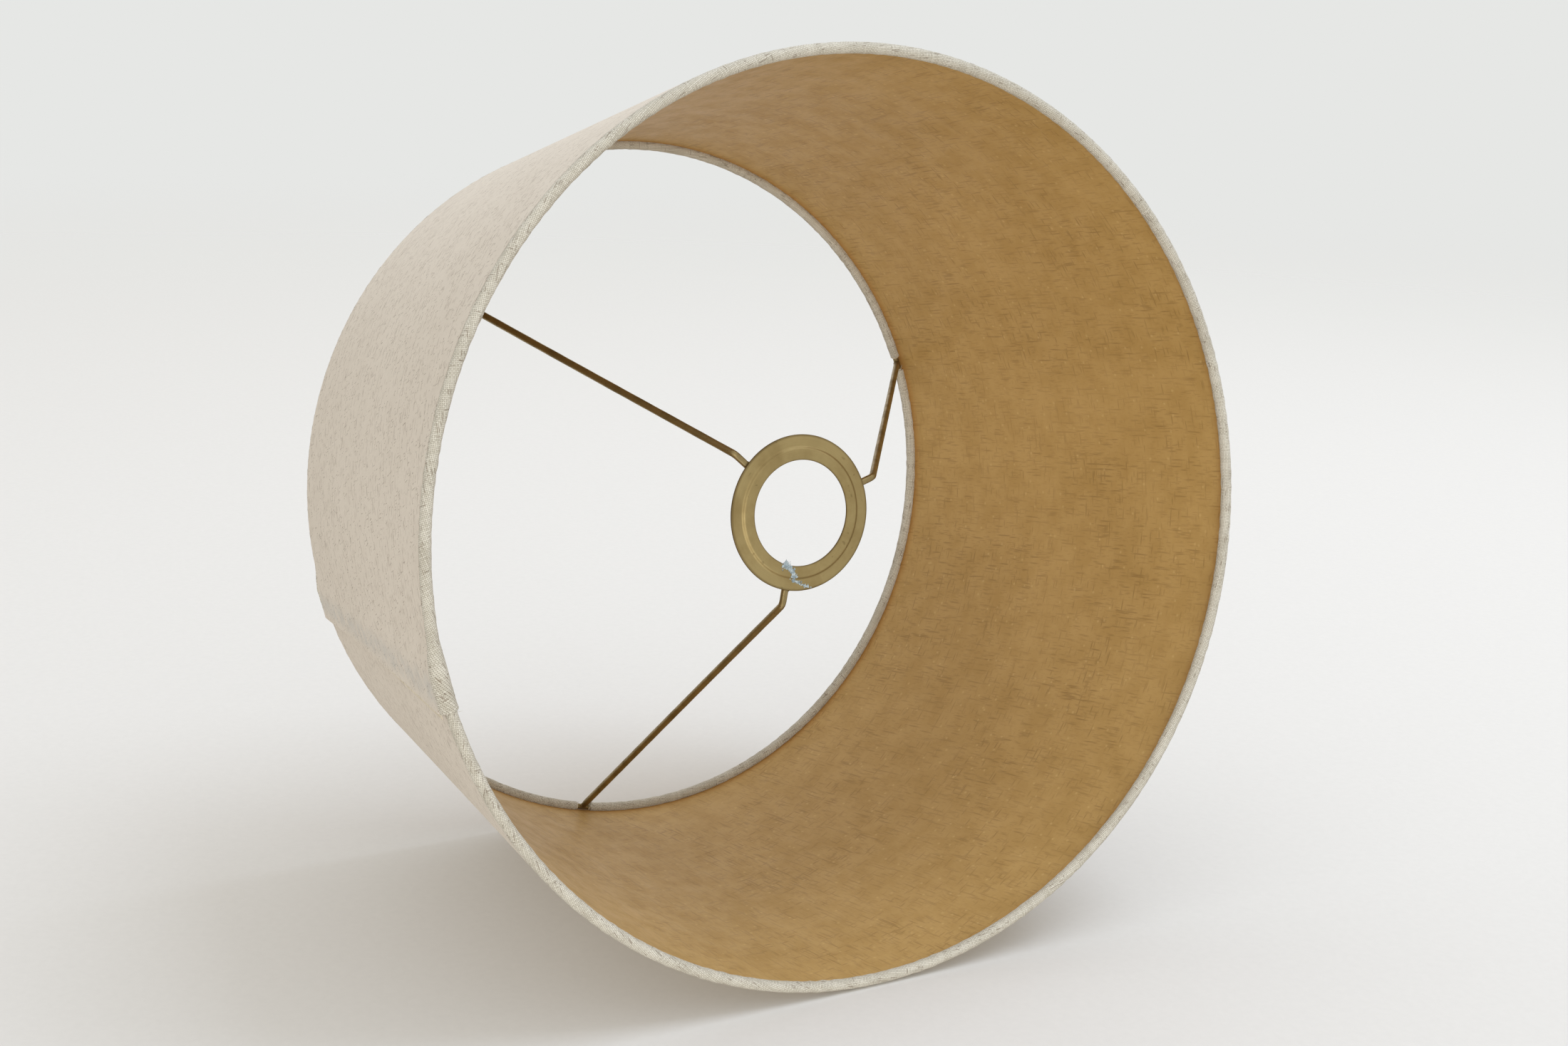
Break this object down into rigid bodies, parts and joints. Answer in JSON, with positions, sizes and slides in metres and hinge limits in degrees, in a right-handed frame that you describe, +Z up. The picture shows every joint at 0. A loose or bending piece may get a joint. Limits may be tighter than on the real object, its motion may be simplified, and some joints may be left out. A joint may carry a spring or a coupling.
{
  "type": "lamp shade",
  "caption": "Tapered drum lamp shade of natural linen over a gold liner, hems rolled round wire rings, with a spoked lamp-holder ring inside.",
  "frame": {"origin": "the middle of the floor that the shade stands on, on the axis of its rings, below its large rim", "axes": "+Z up along the axis of the shade, from the large rim to the small one; +Y towards the lapped seam at the back; +X to the right seen from the front"},
  "size_m": [0.355, 0.3561, 0.2],
  "materials": {
    "linen": "natural oatmeal linen, plain weave with slubs and flecks",
    "hem_linen": "the same linen, unlaminated and rolled over the wire",
    "gold_liner": "satin gold laminate with the linen's slubs showing through",
    "adhesive_tape": "thin double-sided tape",
    "ring_wire": "dull lacquered brass plate with darker weld heat marks",
    "stamped_flange": "dull lacquered brass plate with darker weld heat marks"
  },
  "bodies": {
    "root": {"linen_panel": "linen", "bottom_hem": "hem_linen", "top_hem_back": "hem_linen", "top_hem_left": "hem_linen", "top_hem_right": "hem_linen", "gold_liner": "gold_liner", "seam_tape": "adhesive_tape", "bottom_ring_tape": "adhesive_tape", "top_ring_tape": "adhesive_tape", "bottom_ring": "ring_wire", "top_ring": "ring_wire", "spoke_front": "ring_wire", "spoke_right": "ring_wire", "spoke_left": "ring_wire", "top_ring_welds": "ring_wire", "fitter_welds": "ring_wire", "fitter_ring": "stamped_flange"}
  },
  "joints": []
}
